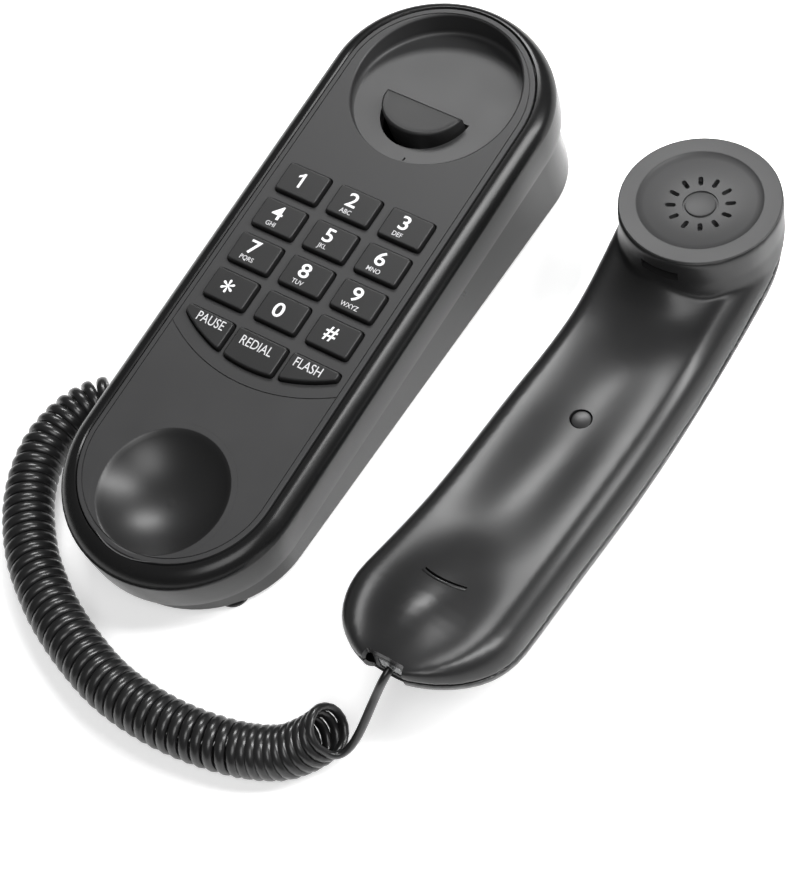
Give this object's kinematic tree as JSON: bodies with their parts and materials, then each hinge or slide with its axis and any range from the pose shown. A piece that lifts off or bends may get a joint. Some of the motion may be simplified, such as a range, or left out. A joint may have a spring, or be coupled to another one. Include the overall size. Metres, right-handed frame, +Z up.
{
  "type": "corded landline phone",
  "caption": "Slim corded desk and wall telephone: wedge base with push-button keypad and hook switch, handset lying beside it, and curly handset cord.",
  "frame": {"origin": "on the table, at the middle of the footprint of the base and the handset together, the cord left out", "axes": "+X to the right across the phone, from the base to the handset; +Y along the phone towards the earpiece end; +Z up"},
  "size_m": [0.1637, 0.22, 0.0432],
  "materials": {
    "case_plastic": "fine satin ABS, charcoal black",
    "face_plastic": "fine matte texture, dark grey",
    "key_plastic": "smooth satin, black with white legends",
    "handset_plastic": "fine satin ABS, charcoal black",
    "knob_plastic": "satin black",
    "steel": "zinc plated",
    "rubber": "matte",
    "circuit_board": "green solder mask",
    "brass": "plain",
    "connector_plastic": "black moulding",
    "clear_plastic": "clear polycarbonate",
    "cord_jacket": "soft PVC jacket, satin black"
  },
  "bodies": {
    "base": {"upper_case": "case_plastic", "face_plate": "face_plastic", "bottom_cover": "case_plastic", "case_screw_1": "steel", "case_screw_2": "steel", "case_screw_3": "steel", "case_screw_4": "steel", "rubber_foot_1": "rubber", "rubber_foot_2": "rubber", "rubber_foot_3": "rubber", "rubber_foot_4": "rubber", "keypad_mat": "rubber", "keypad_board": "circuit_board", "main_board": "circuit_board", "ringer_disc": "brass", "ballast_weight": "steel", "hook_spring": "steel", "hook_microswitch": "case_plastic", "hook_bracket": "case_plastic", "hook_pivot_pin": "steel", "handset_cord_jack": "connector_plastic", "line_jack": "connector_plastic", "cord_base_plug": "clear_plastic", "cord_base_lead": "cord_jacket", "cord_coil": "cord_jacket", "cord_handset_lead": "cord_jacket"},
    "key_1": {"key_1": "key_plastic"},
    "key_2": {"key_2": "key_plastic"},
    "key_3": {"key_3": "key_plastic"},
    "key_4": {"key_4": "key_plastic"},
    "key_5": {"key_5": "key_plastic"},
    "key_6": {"key_6": "key_plastic"},
    "key_7": {"key_7": "key_plastic"},
    "key_8": {"key_8": "key_plastic"},
    "key_9": {"key_9": "key_plastic"},
    "key_star": {"key_star": "key_plastic"},
    "key_0": {"key_0": "key_plastic"},
    "key_hash": {"key_hash": "key_plastic"},
    "key_pause": {"key_pause": "key_plastic"},
    "key_redial": {"key_redial": "key_plastic"},
    "key_flash": {"key_flash": "key_plastic"},
    "hook_switch": {"hook_switch": "key_plastic"},
    "ringer_volume_knob": {"ringer_volume_knob": "knob_plastic"},
    "dial_mode_knob": {"dial_mode_knob": "knob_plastic"},
    "handset": {"handset_front_shell": "handset_plastic", "handset_back_shell": "handset_plastic", "ear_cap": "handset_plastic", "receiver_capsule": "steel", "microphone_capsule": "steel", "handset_weight": "steel", "screw_cover": "handset_plastic", "handset_screw": "steel", "handset_jack": "connector_plastic", "cord_handset_plug": "clear_plastic"}
  },
  "joints": [
    {"name": "key_1_press", "type": "slide", "parent": "base", "child": "key_1", "axis": [0, 0.0958, -0.9954], "range_m": [0, 0.0012], "stiffness_N_per_m": 400, "springref_m": -0.0003},
    {"name": "key_2_press", "type": "slide", "parent": "base", "child": "key_2", "axis": [0, 0.0958, -0.9954], "range_m": [0, 0.0012], "stiffness_N_per_m": 400, "springref_m": -0.0003},
    {"name": "key_3_press", "type": "slide", "parent": "base", "child": "key_3", "axis": [0, 0.0958, -0.9954], "range_m": [0, 0.0012], "stiffness_N_per_m": 400, "springref_m": -0.0003},
    {"name": "key_4_press", "type": "slide", "parent": "base", "child": "key_4", "axis": [0, 0.0958, -0.9954], "range_m": [0, 0.0012], "stiffness_N_per_m": 400, "springref_m": -0.0003},
    {"name": "key_5_press", "type": "slide", "parent": "base", "child": "key_5", "axis": [0, 0.0958, -0.9954], "range_m": [0, 0.0012], "stiffness_N_per_m": 400, "springref_m": -0.0003},
    {"name": "key_6_press", "type": "slide", "parent": "base", "child": "key_6", "axis": [0, 0.0958, -0.9954], "range_m": [0, 0.0012], "stiffness_N_per_m": 400, "springref_m": -0.0003},
    {"name": "key_7_press", "type": "slide", "parent": "base", "child": "key_7", "axis": [0, 0.0958, -0.9954], "range_m": [0, 0.0012], "stiffness_N_per_m": 400, "springref_m": -0.0003},
    {"name": "key_8_press", "type": "slide", "parent": "base", "child": "key_8", "axis": [0, 0.0958, -0.9954], "range_m": [0, 0.0012], "stiffness_N_per_m": 400, "springref_m": -0.0003},
    {"name": "key_9_press", "type": "slide", "parent": "base", "child": "key_9", "axis": [0, 0.0958, -0.9954], "range_m": [0, 0.0012], "stiffness_N_per_m": 400, "springref_m": -0.0003},
    {"name": "key_star_press", "type": "slide", "parent": "base", "child": "key_star", "axis": [0, 0.0958, -0.9954], "range_m": [0, 0.0012], "stiffness_N_per_m": 400, "springref_m": -0.0003},
    {"name": "key_0_press", "type": "slide", "parent": "base", "child": "key_0", "axis": [0, 0.0958, -0.9954], "range_m": [0, 0.0012], "stiffness_N_per_m": 400, "springref_m": -0.0003},
    {"name": "key_hash_press", "type": "slide", "parent": "base", "child": "key_hash", "axis": [0, 0.0958, -0.9954], "range_m": [0, 0.0012], "stiffness_N_per_m": 400, "springref_m": -0.0003},
    {"name": "key_pause_press", "type": "slide", "parent": "base", "child": "key_pause", "axis": [0, 0.0958, -0.9954], "range_m": [0, 0.0012], "stiffness_N_per_m": 400, "springref_m": -0.0003},
    {"name": "key_redial_press", "type": "slide", "parent": "base", "child": "key_redial", "axis": [0, 0.0958, -0.9954], "range_m": [0, 0.0012], "stiffness_N_per_m": 400, "springref_m": -0.0003},
    {"name": "key_flash_press", "type": "slide", "parent": "base", "child": "key_flash", "axis": [0, 0.0958, -0.9954], "range_m": [0, 0.0012], "stiffness_N_per_m": 400, "springref_m": -0.0003},
    {"name": "hook_switch_press", "type": "hinge", "parent": "base", "child": "hook_switch", "pos_m": [-0.0363, 0.08032, 0.02955], "axis": [1, 0, 0], "range_deg": [0, 8.8], "stiffness_Nm_per_rad": 0.05, "springref_deg": -8.59, "deforming": ["hook_spring"]},
    {"name": "ringer_volume_slide", "type": "slide", "parent": "base", "child": "ringer_volume_knob", "axis": [0, 1, 0], "range_m": [-0.0025, 0.0025]},
    {"name": "dial_mode_slide", "type": "slide", "parent": "base", "child": "dial_mode_knob", "axis": [0, 1, 0], "range_m": [-0.0025, 0.0025]},
    {"name": "handset_lift", "type": "slide", "parent": "base", "child": "handset", "axis": [0, 0, 1], "range_m": [0, 0.06]}
  ]
}
